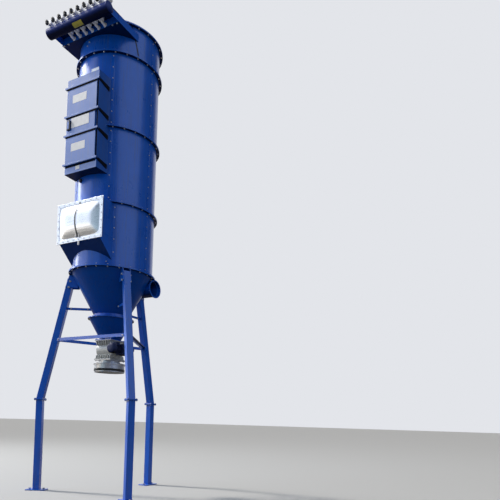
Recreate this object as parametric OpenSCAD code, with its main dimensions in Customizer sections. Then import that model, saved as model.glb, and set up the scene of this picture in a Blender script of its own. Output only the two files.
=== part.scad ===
// Cyclone separator with a reverse-jet filter body, standing on three legs.
// Millimetres. Z is up, the body axis is the Z axis and the ground is z = 0.
// The access doors, the relief panel and the air header face -Y.
// Angles round the body are measured from -Y towards +X.

/* [Body shell] */
// outer diameter of the round body
body_d = 1250; // [1100:10:1400]
// sheet thickness of the shell, the cones and the boxes
shell_t = 5; // [4:1:8]
// how far a bolted ring flange stands out from the shell
flange_w = 50; // [40:5:60]
// thickness of one ring flange
flange_t = 12; // [10:1:16]
// height of the joint between cone and body above the ground
cone_top_z = 3450; // [3400:10:3600]
// height of the lowest body section, which carries the relief panel
lower_h = 970; // [950:10:1100]
// height of the middle body section
middle_h = 1150; // [1000:10:1250]
// height of the upper body section
upper_h = 1150; // [1000:10:1250]
// height of the clean-air section on top
top_h = 480; // [460:10:560]
// angle of the first bolted seam between the curved wall panels
seam_az = 32; // [30:1:34]

/* [Cones] */
// height of the upper cone
cone_h = 636; // [600:4:680]
// outer diameter of the upper cone at its lower end
cone_bot_d = 550; // [500:10:580]
// height of the straight neck below the upper cone
neck_h = 54; // [40:2:70]
// outer diameter of the lid of the lower cone
hopper_d = 720; // [680:10:760]
// height of the lower cone
hopper_h = 330; // [300:5:360]
// outer diameter of the lower cone at its lower end
hopper_bot_d = 320; // [280:5:330]

/* [Rotary valve and bag collar] */
// side of the square valve flanges
valve_side = 340; // [335:1:350]
// height of the valve housing between its outer flange faces
valve_h = 308; // [300:2:330]
// outer radius of the round rotor housing
valve_r = 140; // [130:1:145]
// length of the rotor housing along X
valve_len = 300; // [280:4:320]
// outer diameter of the bag collar flange
collar_d = 494; // [480:2:520]
// outer diameter of the tube that holds the bag
bag_tube_d = 470; // [450:2:472]
// outer diameter of the motor
motor_d = 160; // [140:2:170]

/* [Inlet and outlet] */
// outer diameter of the dirty-air inlet
inlet_d = 250; // [220:2:254]
// distance of the inlet axis behind the body axis
inlet_y = 388; // [380:1:390]
// depth of the inlet axis below the cone joint
inlet_drop = 150; // [148:1:165]
// reach of the inlet from the body axis
inlet_x = 560; // [560:5:640]
// length of the wider socket at the end of the inlet
socket_l = 44; // [30:2:46]
// outer diameter of the clean-air outlet at the rear
outlet_d = 250; // [200:5:300]
// how far the clean-air outlet stands out from the shell
outlet_len = 160; // [120:5:220]

/* [Legs] */
// side of the square hollow section
leg_s = 100; // [90:5:110]
// wall of the square hollow section
leg_t = 5; // [4:1:8]
// height of the bolted knee joint above the ground
knee_z = 1440; // [1300:10:1600]
// distance of the knee from the body axis
knee_r = 1070; // [1030:5:1150]
// side of the square knee plates
knee_plate = 150; // [140:5:180]
// thickness of the knee plates
knee_t = 12; // [10:1:16]
// radial length of a foot plate
foot_l = 300; // [280:5:340]
// width of a foot plate
foot_w = 180; // [160:5:220]
// thickness of a foot plate
foot_t = 15; // [12:1:25]
// radius of an anchor hole
anchor_r = 11; // [9:1:13]
// distance of each anchor hole from the leg centre
anchor_off = 110; // [100:2:120]
// height of the angle braces between the legs
brace_z = 2400; // [2300:10:2450]
// leg length of the angle section
brace_s = 50; // [40:5:60]
// thickness of the angle section
brace_t = 6; // [5:1:8]
// height of the struts between legs and cone
strut_z = 2910; // [2880:5:3000]

/* [Access doors] */
// width of the door box
door_box_w = 640; // [600:10:680]
// height of the door box
door_box_h = 1460; // [1400:10:1500]
// distance of the door box front from the body axis
door_front = 775; // [760:5:820]
// height of each door
door_h = 415; // [400:5:425]
// width of each door
door_w = 600; // [560:10:620]
// depth of a door pan
door_t = 20; // [16:1:28]
// height of the fixed panel between the doors
mid_h = 265; // [240:5:266]
// length of a clamp bar
bar_l = 690; // [650:5:720]
// height of a clamp bar
bar_h = 30; // [24:1:31]

/* [Relief panel] */
// width of the relief panel frame
relief_w = 915; // [860:5:940]
// height of the relief panel frame
relief_h = 610; // [590:5:620]
// distance of the relief frame's back from the body axis
relief_front = 735; // [725:5:780]
// width of the nozzle behind the relief panel
nozzle_w = 820; // [780:10:840]
// depth of the frame bar
frame_t = 14; // [10:1:20]
// width of the frame bar
frame_b = 48; // [40:2:56]
// how far the panel bulges out
bulge = 34; // [20:2:40]

/* [Air header] */
// width of the flat box in front of the clean-air section
box_w = 1152; // [1000:8:1180]
// height of that box
box_h = 115; // [100:5:130]
// distance of the box front from the body axis
box_front = 690; // [680:5:760]
// height of the box underside above the clean-air section's base
box_lift = 270; // [250:5:300]
// outer diameter of the header tank
tank_d = 152; // [130:2:168]
// how far the header tube runs on past its outer valves
tank_over = 38; // [30:1:50]
// distance of the tank axis in front of the box
tank_gap = 223; // [210:1:240]
// number of valves on the header
valve_n = 10; // [8:2:10]
// spacing of the valves
valve_pitch = 126; // [110:1:128]
// number of blow pipes that enter the box
pipe_n = 6; // [4:2:8]
// outer radius of a blow pipe
pipe_r = 21; // [16:1:24]
// distance of a blow pipe's drop in front of the box
pipe_out = 85; // [80:1:90]
// bend radius of a blow pipe
pipe_bend = 42; // [40:1:44]

/* [Hidden] */
R = body_d/2;
Rf = R + flange_w;
ring3_z = cone_top_z + lower_h;
ring2_z = ring3_z + middle_h;
ring1_z = ring2_z + upper_h;
roof_z = ring1_z + top_h;
cone_bot_z = cone_top_z - cone_h;
neck_z = cone_bot_z - neck_h;
lid_t = 10;
hopper_top_z = neck_z - lid_t;
hopper_bot_z = hopper_top_z - hopper_h;
valve_top_z = hopper_bot_z - flange_t;
valve_bot_z = valve_top_z - valve_h;
valve_mid_z = (valve_top_z + valve_bot_z)/2;
throat_z = valve_bot_z - 60;
throat_r = valve_side/2 - 10;
inlet_z = cone_top_z - inlet_drop;
outlet_z = ring1_z + 230;
leg_top_r = R + 15;
leg_end_z = cone_top_z - 60;
flange_under = cone_top_z - flange_t;
door_z0 = ring2_z - door_box_h/2;
door_z1 = ring2_z + door_box_h/2;
bar_a = mid_h/2 + bar_h/2;
bar_b = bar_a + bar_h + door_h;
relief_z1 = ring3_z - flange_t - 3;
relief_z0 = relief_z1 - relief_h;
nozzle_low = relief_z0 + 5;
nozzle_top = relief_z1 - 4;
box_z = ring1_z + box_lift;
tank_y = -(box_front + tank_gap);
tank_z = box_z + 40;
tank_l = (valve_n - 1)*valve_pitch + 2*tank_over;
valve_z = tank_z + tank_d/2 + 62;
pipe_z = box_z + 35;
shelf_w = 200;
pipe_y = -(box_front + pipe_out);
pipe_start_y = tank_y + 66;
// where the sides of the flat box meet the wall: at its widest place when the box is wider still
box_az = asin(min(1, (box_w/2 - shell_t - 2)/R));
gusset_low = cone_top_z - 210;
gusset_t = 10;
strut_lap = 60;
slack = 0.4;
socket_gap = 3;
weld_turn = 77;
body_fn = 96;

// distance of the leg's centre line from the body axis at height z
function leg_r(z) = knee_r - (knee_r - leg_top_r)*(z - knee_z)/(flange_under - knee_z);
// outer radius of the upper cone at height z
function cone_r(z) = R - (R - cone_bot_d/2)*(cone_top_z - z)/cone_h;

module blue() { color([0.05, 0.16, 0.52]) children(); }
module silver() { color([0.78, 0.79, 0.80]) children(); }
module black() { color([0.06, 0.06, 0.06]) children(); }

module tube(ro, ri, h) {
  difference() {
    cylinder(r = ro, h = h, $fn = body_fn);
    translate([0, 0, -1]) cylinder(r = ri, h = h + 2, $fn = body_fn);
  }
}

// one rolled wall panel from angle a0 to a1, with a flange below and above where asked
module panel(z0, z1, a0, a1, low, high) {
  cut = slack/R*90/PI;
  foot = low ? [[R, z0 + flange_t], [Rf, z0 + flange_t], [Rf, z0]] : [[R, z0]];
  head = high ? [[Rf, z1], [Rf, z1 - flange_t], [R, z1 - flange_t]] : [[R, z1]];
  rotate([0, 0, a0 + cut - 90]) rotate_extrude(angle = a1 - a0 - 2*cut, $fn = body_fn)
    polygon(concat([[R - shell_t, z0], [R - shell_t, z1]], head, foot));
}

// a body section of six panels that bolt together at upright seams
module section(z0, z1) {
  for (a = [seam_az : 60 : seam_az + 300]) panel(z0, z1, a, a + 60, true, true);
}

// solid of the body's round outside, for fitting boxes on it
module body_solid(z0, z1) {
  translate([0, 0, z0]) cylinder(r = R, h = z1 - z0, $fn = body_fn);
}

// solid of the upper cone's outside
module cone_solid() {
  translate([0, 0, cone_bot_z]) cylinder(r1 = cone_bot_d/2, r2 = R, h = cone_h, $fn = body_fn);
}

// a block given by its corners
module block(x0, x1, y0, y1, z0, z1) {
  translate([x0, y0, z0]) cube([x1 - x0, y1 - y0, z1 - z0]);
}

// a profile in the YZ plane made w wide along X, centred
module profile_x(w, pts) {
  translate([-w/2, 0, 0]) rotate([90, 0, 90]) linear_extrude(height = w) polygon(pts);
}

/* Top */

// a low cone of sheet with a flat rim
module roof_lid() {
  blue() difference() {
    union() {
      translate([0, 0, roof_z]) cylinder(r = Rf, h = 8, $fn = body_fn);
      translate([0, 0, roof_z + 8]) cylinder(r1 = R - 20, r2 = 60, h = 50, $fn = body_fn);
    }
    translate([0, 0, roof_z - 1]) cylinder(r = R - 20 - shell_t, h = 4, $fn = body_fn);
    translate([0, 0, roof_z + 3]) cylinder(r1 = R - 20 - shell_t, r2 = 60, h = 50, $fn = body_fn);
  }
}

module box_inner() {
  block(-box_w/2 + shell_t, box_w/2 - shell_t, -box_front + shell_t, 0,
    box_z + shell_t, box_z + box_h - shell_t);
}

// the wall runs under and over the flat box, and at full height round the back
module clean_air_shell() {
  blue() difference() {
    union() {
      for (a = [[-box_az, seam_az - 60], [seam_az - 60, seam_az], [seam_az, box_az]]) {
        panel(ring1_z, box_z + shell_t, a[0], a[1], true, false);
        panel(box_z + box_h - shell_t, roof_z, a[0], a[1], false, true);
      }
      panel(ring1_z, roof_z, box_az, seam_az + 60, true, true);
      for (a = [seam_az + 60 : 60 : seam_az + 180])
        panel(ring1_z, roof_z, a, a + 60, true, true);
      panel(ring1_z, roof_z, seam_az + 240, 360 - box_az, true, true);
    }
    translate([0, 0, outlet_z]) rotate([-90, 0, 0])
      cylinder(r = outlet_d/2, h = R + 10, $fn = 64);
  }
}

// bottom sheet, the wall folded round the front and both sides, and the top sheet, which runs
// on forward as a shelf under the header
module header_box() {
  blue() difference() {
    for (z = [[0, shell_t, 0], [shell_t + slack, box_h - shell_t - slack, 0], [box_h - shell_t, box_h, shelf_w]])
      block(-box_w/2, box_w/2, -box_front - z[2], -R*cos(box_az + 5), box_z + z[0], box_z + z[1]);
    box_inner();
    tank_solid();
    for (i = [0 : pipe_n - 1])
      translate([(i - (pipe_n - 1)/2)*valve_pitch, pipe_y, box_z]) cylinder(r = pipe_r, h = box_h + 1, $fn = 32);
    body_solid(box_z - 10, box_z + box_h + 10);
    for (i = [0 : pipe_n - 1])
      translate([(i - (pipe_n - 1)/2)*valve_pitch, -box_front - 1, pipe_z])
        rotate([-90, 0, 0]) cylinder(r = pipe_r, h = shell_t + 2, $fn = 32);
  }
}

module outlet_spigot() {
  blue() difference() {
    translate([0, 0, outlet_z]) rotate([-90, 0, 0]) difference() {
      union() {
        cylinder(r = outlet_d/2, h = R + outlet_len, $fn = 64);
        translate([0, 0, R + outlet_len - 30]) cylinder(r = outlet_d/2 + 8, h = 6, $fn = 64);
      }
      translate([0, 0, -1]) cylinder(r = outlet_d/2 - 3, h = R + outlet_len + 2, $fn = 64);
    }
    body_solid_inner();
  }
}

// keeps the outlet outside the inner face of the shell
module body_solid_inner() {
  translate([0, 0, outlet_z - outlet_d])
    cylinder(r = R - shell_t, h = 2*outlet_d, $fn = body_fn);
}

// solid of the header's outside
module tank_solid() {
  translate([-box_w, tank_y, tank_z]) rotate([0, 90, 0]) cylinder(r = tank_d/2, h = 2*box_w, $fn = 64);
}

module header_tank() {
  blue() translate([-tank_l/2, tank_y, tank_z]) rotate([0, 90, 0]) difference() {
    cylinder(r = tank_d/2, h = tank_l, $fn = 64);
    translate([0, 0, -1]) cylinder(r = tank_d/2 - 5, h = tank_l + 2, $fn = 64);
  }
}

// dished ends of the header
module tank_end() {
  cap_r = 140;
  sag = cap_r - sqrt(cap_r*cap_r - tank_d*tank_d/4);
  intersection() {
    translate([0, 0, sag - cap_r]) sphere(r = cap_r, $fn = 96);
    cylinder(r = tank_d/2, h = 100, $fn = 64);
  }
}

module header_ends() {
  blue() {
    translate([tank_l/2, tank_y, tank_z]) rotate([0, 90, 0]) tank_end();
    translate([-tank_l/2, tank_y, tank_z]) rotate([0, -90, 0]) tank_end();
  }
}

module header_brackets() {
  blue() for (s = [-1, 1])
    difference() {
      block(s*(box_w/2 - 14) - 5, s*(box_w/2 - 14) + 5, tank_y, -box_front,
        box_z + 10, box_z + box_h - shell_t);
      tank_solid();
    }
}

// a valve body on its neck, with the bolted cover in front and a nut behind
module diaphragm_valves() {
  silver() for (i = [0 : valve_n - 1])
    translate([(i - (valve_n - 1)/2)*valve_pitch, tank_y, 0]) difference() {
      union() {
        translate([0, 5, tank_z]) cylinder(r = 24, h = valve_z - tank_z, $fn = 32);
        translate([0, 5, valve_z - 46]) cylinder(r = 30, h = 14, $fn = 6);
        translate([0, 0, valve_z]) rotate([-90, 0, 0]) translate([0, 0, -52]) {
          cylinder(r = 44, h = 18, $fn = 48);
          cylinder(r = 36, h = 106, $fn = 48);
          translate([0, 0, 90]) cylinder(r = 33, h = 28, $fn = 6);
        }
      }
      translate([0, -tank_y, 0]) tank_solid();
    }
}

// a coil on its stem, with the plug below it
module solenoid_coils() {
  black() for (i = [0 : valve_n - 1])
    translate([(i - (valve_n - 1)/2)*valve_pitch, tank_y - 52, valve_z - 22]) {
      rotate([90, 0, 0]) cylinder(r = 9, h = 62, $fn = 24);
      block(-17, 17, -56, -14, -24, 26);
      block(-13, 13, -50, -22, -40, -24);
    }
}

// one bent pipe from a valve's outlet down and back into the box
module blow_pipe() {
  drop = valve_z - pipe_z;
  translate([0, pipe_start_y, valve_z]) rotate([-90, 0, 0])
    cylinder(r = pipe_r, h = pipe_y - pipe_bend - pipe_start_y, $fn = 32);
  translate([0, pipe_y - pipe_bend, valve_z - pipe_bend]) rotate([90, 0, 90]) quarter_bend();
  translate([0, pipe_y, pipe_z + pipe_bend]) cylinder(r = pipe_r, h = drop - 2*pipe_bend, $fn = 32);
  translate([0, pipe_y, box_z + box_h - shell_t - 34]) cylinder(r = pipe_r + 16, h = 34, $fn = 48);
  translate([0, pipe_y + pipe_bend, pipe_z + pipe_bend]) rotate([90, 0, 90]) rotate([0, 0, 180])
    quarter_bend();
  translate([0, pipe_y + pipe_bend, pipe_z]) rotate([-90, 0, 0])
    cylinder(r = pipe_r, h = pipe_out - pipe_bend + shell_t, $fn = 32);
  translate([0, -box_front - 8, pipe_z]) rotate([-90, 0, 0])
    cylinder(r = pipe_r + 10, h = 8, $fn = 32);
}

module quarter_bend() {
  rotate_extrude(angle = 90, $fn = 64) translate([pipe_bend, 0]) circle(r = pipe_r, $fn = 32);
}

module blow_pipes() {
  silver() for (i = [0 : pipe_n - 1])
    translate([(i - (pipe_n - 1)/2)*valve_pitch, 0, 0]) blow_pipe();
}

/* Body */

// openings behind the two doors
module door_openings() {
  for (s = [-1, 1])
    block(-door_w/2 + 20, door_w/2 - 20, -R - 10, -R/2,
      ring2_z + s*(mid_h/2 + bar_h + door_h/2) - door_h/2 + 20,
      ring2_z + s*(mid_h/2 + bar_h + door_h/2) + door_h/2 - 20);
}

module upper_shell() {
  blue() difference() {
    section(ring2_z, ring1_z);
    door_openings();
  }
}

module middle_shell() {
  blue() difference() {
    section(ring3_z, ring2_z);
    door_openings();
  }
}

// side view of the nozzle, smaller all round by g
module nozzle_profile(w, g) {
  profile_x(w, [[-relief_front - (g > 0 ? 10 : 0), nozzle_low + g],
    [-relief_front - (g > 0 ? 10 : 0), nozzle_top - g],
    [-R/2, nozzle_top - g],
    [-R/2, nozzle_low - 270 + 1.4*g],
    [-relief_front + 270, nozzle_low - 270 + 1.4*g],
    [-relief_front + g*0.4, nozzle_low + g]]);
}

module lower_shell() {
  blue() difference() {
    section(cone_top_z, ring3_z);
    nozzle_profile(nozzle_w - 2*shell_t, shell_t);
  }
}

module relief_nozzle() {
  blue() difference() {
    nozzle_profile(nozzle_w, 0);
    nozzle_profile(nozzle_w - 2*shell_t, shell_t);
    body_solid(cone_top_z, ring3_z);
  }
}

module relief_frame() {
  silver() translate([0, -relief_front, 0]) difference() {
    block(-relief_w/2, relief_w/2, -frame_t, 0, relief_z0, relief_z1);
    block(-relief_w/2 + frame_b, relief_w/2 - frame_b, -frame_t - 1, 1,
      relief_z0 + frame_b, relief_z1 - frame_b);
  }
}

// bulged sheet inside the frame
module relief_panel() {
  pw = relief_w/2 - frame_b;
  ph = relief_h/2 - frame_b;
  big = (pw*pw + ph*ph)/(2*bulge) + bulge/2;
  zc = (relief_z0 + relief_z1)/2;
  silver() intersection() {
    block(-pw, pw, -relief_front - bulge - 5, -relief_front + 10, zc - ph, zc + ph);
    translate([0, -relief_front - bulge + big, zc]) difference() {
      sphere(r = big, $fn = 400);
      sphere(r = big - 4, $fn = 400);
    }
  }
}

/* Access doors */

module door_box() {
  blue() difference() {
    block(-door_box_w/2, door_box_w/2, -door_front, -R/2, door_z0, door_z1);
    block(-door_box_w/2 + shell_t, door_box_w/2 - shell_t, -door_front + shell_t, 0,
      door_z0 + shell_t, door_z1 - shell_t);
    for (s = [-1, 1])
      block(-door_w/2 + 20, door_w/2 - 20, -door_front - 1, -door_front + shell_t + 1,
        ring2_z + s*(mid_h/2 + bar_h + door_h/2) - door_h/2 + 20,
        ring2_z + s*(mid_h/2 + bar_h + door_h/2) + door_h/2 - 20);
    body_solid(door_z0 - 10, door_z1 + 10);
    translate([0, 0, ring2_z - flange_t]) cylinder(r = Rf, h = 2*flange_t, $fn = body_fn);
  }
}

// a folded door pan, open at the back
module door_pan(zc, w, h) {
  difference() {
    block(-w/2, w/2, -door_front - door_t, -door_front, zc - h/2, zc + h/2);
    block(-w/2 + 3, w/2 - 3, -door_front - door_t + 3, -door_front + 1, zc - h/2 + 3, zc + h/2 - 3);
  }
}

module upper_door() { blue() door_pan(ring2_z + mid_h/2 + bar_h + door_h/2, door_w, door_h); }
module lower_door() { blue() door_pan(ring2_z - mid_h/2 - bar_h - door_h/2, door_w, door_h); }
module middle_panel() { blue() door_pan(ring2_z, door_w - 40, mid_h); }

module clamp_bars() {
  blue() for (z = [-bar_b, -bar_a, bar_a, bar_b])
    difference() {
      block(-bar_l/2, bar_l/2, -door_front - door_t - 8, -door_front,
        ring2_z + z - bar_h/2, ring2_z + z + bar_h/2);
      block(-bar_l/2 - 1, bar_l/2 + 1, -door_front - door_t - 4, -door_front - 4,
        ring2_z + z - bar_h/2 - 1, ring2_z + z + bar_h/2 - 4);
    }
}

module door_lock() {
  black() block(-275, -205, -door_front - door_t - 22, -door_front - door_t,
    ring2_z - 70, ring2_z + 80);
}

module data_plate() {
  silver() block(-195, 165, -door_front - door_t - 2, -door_front - door_t,
    ring2_z - 48, ring2_z + 104);
}

/* Cones and inlet */

module upper_cone() {
  blue() difference() {
    union() {
      cone_solid();
      translate([0, 0, flange_under]) cylinder(r = Rf, h = flange_t, $fn = body_fn);
    }
    translate([0, 0, cone_bot_z])
      cylinder(r1 = cone_bot_d/2 - shell_t*1.14, r2 = R - shell_t*1.14, h = cone_h, $fn = body_fn);
    translate([0, 0, cone_bot_z - 1]) cylinder(r = cone_bot_d/2 - shell_t*1.14, h = 2, $fn = body_fn);
    translate([0, 0, cone_top_z - 1]) cylinder(r = R - shell_t*1.14, h = 2, $fn = body_fn);
    along_inlet(0, inlet_d/2, inlet_x);
  }
}

// a rolled duct, its weld turned to the back, whose end is widened to a socket behind the flange
module inlet_duct() {
  r = inlet_d/2;
  step = inlet_x - socket_l;
  blue() difference() {
    translate([0, inlet_y, inlet_z]) rotate([0, 90, 0]) rotate([0, 0, weld_turn])
      rotate_extrude($fn = 192)
      polygon([[r - 4, 0], [r, 0], [r, step - 4], [r + socket_gap + 4, step - 4],
        [r + socket_gap + 4, inlet_x - 10], [r + 22, inlet_x - 10], [r + 22, inlet_x],
        [r + socket_gap, inlet_x], [r + socket_gap, step], [r - 4, step]]);
    cone_inner();
  }
}

// a round bar of radius r on the inlet's axis, from x0
module along_inlet(x0, r, h) {
  translate([x0, inlet_y, inlet_z]) rotate([0, 90, 0]) cylinder(r = r, h = h, $fn = 96);
}

// keeps the inlet outside the inner face of the cone
module cone_inner() {
  translate([0, 0, cone_bot_z])
    cylinder(r1 = cone_bot_d/2 - shell_t*1.14, r2 = R - shell_t*1.14, h = cone_h, $fn = 240);
}

module cone_neck() {
  blue() translate([0, 0, neck_z]) tube(cone_bot_d/2, cone_bot_d/2 - shell_t*1.14, neck_h);
}

module hopper_lid() {
  blue() translate([0, 0, hopper_top_z]) tube(hopper_d/2, cone_bot_d/2 - shell_t*1.14, lid_t);
}

module lower_cone() {
  ro = hopper_d/2 - 20;
  rb = hopper_bot_d/2;
  blue() difference() {
    union() {
      translate([0, 0, hopper_bot_z]) cylinder(r1 = rb, r2 = ro, h = hopper_h, $fn = body_fn);
      translate([0, 0, hopper_top_z - 8]) cylinder(r = hopper_d/2, h = 8, $fn = body_fn);
      block(-valve_side/2, valve_side/2, -valve_side/2, valve_side/2,
        hopper_bot_z - flange_t, hopper_bot_z);
    }
    translate([0, 0, hopper_bot_z])
      cylinder(r1 = rb - shell_t*1.16, r2 = ro - shell_t*1.16, h = hopper_h, $fn = body_fn);
    translate([0, 0, hopper_top_z - 1]) cylinder(r = ro - shell_t*1.16, h = 2, $fn = body_fn);
    translate([0, 0, hopper_bot_z - flange_t - 1])
      cylinder(r = rb - shell_t*1.16, h = flange_t + 2, $fn = body_fn);
  }
}

/* Rotary valve, drive and bag collar */

// cast housing with a row of ribs under the top flange and over the bottom one
module valve_housing() {
  silver() difference() {
    union() {
      translate([-valve_len/2, 0, valve_mid_z]) rotate([0, 90, 0])
        cylinder(r = valve_r, h = valve_len, $fn = 72);
      block(-valve_len/2, valve_len/2, -120, 120, valve_bot_z, valve_top_z);
      for (z = [valve_top_z - flange_t, valve_bot_z])
        block(-valve_side/2, valve_side/2, -valve_side/2, valve_side/2, z, z + flange_t);
      difference() {
        for (x = [-valve_len/2 : (valve_len - 12)/6 : valve_len/2])
          block(x, x + 12, -valve_side/2 + 12, valve_side/2 - 12, valve_bot_z, valve_top_z);
        for (s = [-1, 1])
          translate([-valve_len, s*(valve_side/2 + 6), valve_mid_z]) rotate([0, 90, 0])
            cylinder(r = 92, h = 2*valve_len, $fn = 72);
      }
    }
    block(-valve_len/2 + 30, valve_len/2 - 30, -90, 90, valve_bot_z - 1, valve_top_z + 1);
    translate([-valve_len/2 - 1, 0, valve_mid_z]) rotate([0, 90, 0])
      cylinder(r = valve_r - 20, h = valve_len + 2, $fn = 72);
  }
}

module valve_covers() {
  silver() for (s = [0, 1]) mirror([s, 0, 0]) {
    translate([valve_len/2, 0, valve_mid_z]) rotate([0, 90, 0])
      cylinder(r = valve_r - 4, h = 14, $fn = 72);
    translate([valve_len/2 + 14, 0, valve_mid_z]) rotate([0, 90, 0])
      cylinder(r = 46, h = 26, $fn = 48);
  }
}

module valve_gearbox() {
  gx = valve_len/2 + 40;
  blue() {
    block(gx, gx + 150, -75, 75, valve_mid_z - 85, valve_mid_z + 85);
    translate([gx + 150, 0, valve_mid_z]) rotate([0, 90, 0]) cylinder(r = 62, h = 110, $fn = 48);
  }
}

// flange, finned barrel, terminal box and fan cowl
module valve_motor() {
  barrel = 120;
  blue() translate([valve_len/2 + 115, -75, valve_mid_z]) rotate([90, 0, 0]) {
    cylinder(r = motor_d/2, h = 14, $fn = 64);
    cylinder(r = motor_d/2 - 18, h = 14 + barrel, $fn = 64);
    for (a = [0 : 15 : 345]) rotate([0, 0, a]) block(0, motor_d/2 - 7, -2, 2, 13, 14 + barrel);
    block(-36, 36, 0, motor_d/2 + 26, 34, 106);
    translate([0, 0, 14 + barrel]) cylinder(r = motor_d/2, h = 50, $fn = 64);
  }
}

module bag_collar() {
  zc = throat_z;
  silver() difference() {
    union() {
      block(-valve_side/2, valve_side/2, -valve_side/2, valve_side/2,
        valve_bot_z - flange_t, valve_bot_z);
      translate([0, 0, zc]) cylinder(r = throat_r, h = valve_bot_z - zc, $fn = body_fn);
      translate([0, 0, zc - 22]) cylinder(r = collar_d/2, h = 22, $fn = body_fn);
      translate([0, 0, zc - 140]) cylinder(r = bag_tube_d/2, h = 140, $fn = body_fn);
    }
    translate([0, 0, zc - 30]) cylinder(r = throat_r - 10, h = 110, $fn = body_fn);
    translate([0, 0, zc - 141]) cylinder(r = bag_tube_d/2 - 4, h = 129, $fn = body_fn);
  }
}

module bag_strap() {
  black() translate([0, 0, throat_z - 125]) {
    tube(bag_tube_d/2 + 4, bag_tube_d/2, 36);
    rotate([0, 0, 20]) block(-35, 35, -bag_tube_d/2 - 22, -bag_tube_d/2 - 3, 4, 32);
  }
}

/* Stand */

// outline solid of the sloping upper leg, w across, cut level at z0 and z1
module sloping(w, grow, z0, z1) {
  k = (knee_r - leg_top_r)/(flange_under - knee_z);
  hw = (leg_s/2 - grow)*sqrt(1 + k*k);
  profile_x(w, [[-leg_r(z0) - hw, z0], [-leg_r(z0) + hw, z0],
    [-leg_r(z1) + hw, z1], [-leg_r(z1) - hw, z1]]);
}

module upper_leg() {
  difference() {
    union() {
      sloping(leg_s, 0, knee_z + knee_t, leg_end_z);
      block(-knee_plate/2, knee_plate/2, -knee_r - knee_plate/2, -knee_r + knee_plate/2,
        knee_z, knee_z + knee_t);
    }
    sloping(leg_s - 2*leg_t, leg_t, knee_z + knee_t, leg_end_z + 1);
  }
}

module lower_leg() {
  difference() {
    union() {
      block(-leg_s/2, leg_s/2, -knee_r - leg_s/2, -knee_r + leg_s/2, foot_t, knee_z - knee_t);
      block(-knee_plate/2, knee_plate/2, -knee_r - knee_plate/2, -knee_r + knee_plate/2,
        knee_z - knee_t, knee_z);
      block(-foot_w/2, foot_w/2, -knee_r - foot_l/2, -knee_r + foot_l/2, 0, foot_t);
    }
    block(-leg_s/2 + leg_t, leg_s/2 - leg_t, -knee_r - leg_s/2 + leg_t,
      -knee_r + leg_s/2 - leg_t, foot_t, knee_z - knee_t);
    for (s = [-1, 1])
      translate([0, -knee_r + s*anchor_off, -1])
        cylinder(r = anchor_r, h = foot_t + 2, $fn = 32);
  }
}

module leg_heads() {
  blue() for (a = [-60, 60, 180]) rotate([0, 0, a]) difference() {
    for (s = [-1, 1])
      translate([s*(leg_s + gusset_t)/2, 0, 0]) profile_x(gusset_t, [
        [-R + 90, gusset_low], [-R + 90, flange_under], [-Rf, flange_under],
        [-leg_r(gusset_low) - leg_s/2, gusset_low]]);
    cone_solid();
  }
}

module leg_left_upper() { blue() rotate([0, 0, -60]) upper_leg(); }
module leg_left_lower() { blue() rotate([0, 0, -60]) lower_leg(); }
module leg_right_upper() { blue() rotate([0, 0, 60]) upper_leg(); }
module leg_right_lower() { blue() rotate([0, 0, 60]) lower_leg(); }
module leg_rear_upper() { blue() rotate([0, 0, 180]) upper_leg(); }
module leg_rear_lower() { blue() rotate([0, 0, 180]) lower_leg(); }

// angle bar between the legs at -60 and +60 degrees
module brace() {
  yb = -leg_r(brace_z)/2;
  half = leg_r(brace_z)*0.866;
  difference() {
    block(-half, half, yb - brace_s/2, yb + brace_s/2, brace_z - brace_s/2, brace_z + brace_s/2);
    block(-half - 1, half + 1, yb - brace_s/2 - 1, yb + brace_s/2 - brace_t,
      brace_z - brace_s/2 - 1, brace_z + brace_s/2 - brace_t);
    for (a = [-60, 60]) rotate([0, 0, a]) sloping(leg_s, 0, brace_z - 100, brace_z + 100);
  }
}

module brace_front() { blue() brace(); }
module brace_right() { blue() rotate([0, 0, 120]) brace(); }
module brace_left() { blue() rotate([0, 0, 240]) brace(); }

module struts() {
  blue() for (a = [-60, 60, 180]) rotate([0, 0, a]) difference() {
    block(-5, 5, -leg_r(strut_z), -cone_r(strut_z) + strut_lap, strut_z - 20, strut_z + 20);
    cone_solid();
    sloping(leg_s, 0, strut_z - 100, strut_z + 100);
  }
}

roof_lid();
clean_air_shell();
header_box();
header_tank();
header_ends();
header_brackets();
diaphragm_valves();
solenoid_coils();
blow_pipes();
outlet_spigot();
upper_shell();
middle_shell();
lower_shell();
door_box();
upper_door();
lower_door();
middle_panel();
clamp_bars();
door_lock();
data_plate();
relief_nozzle();
relief_frame();
relief_panel();
upper_cone();
cone_neck();
hopper_lid();
lower_cone();
inlet_duct();
valve_housing();
valve_covers();
valve_gearbox();
valve_motor();
bag_collar();
bag_strap();
leg_heads();
leg_left_upper();
leg_left_lower();
leg_right_upper();
leg_right_lower();
leg_rear_upper();
leg_rear_lower();
brace_front();
brace_right();
brace_left();
struts();
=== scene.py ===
import math
import bmesh
import bpy
from mathutils import Matrix, Vector


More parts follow.
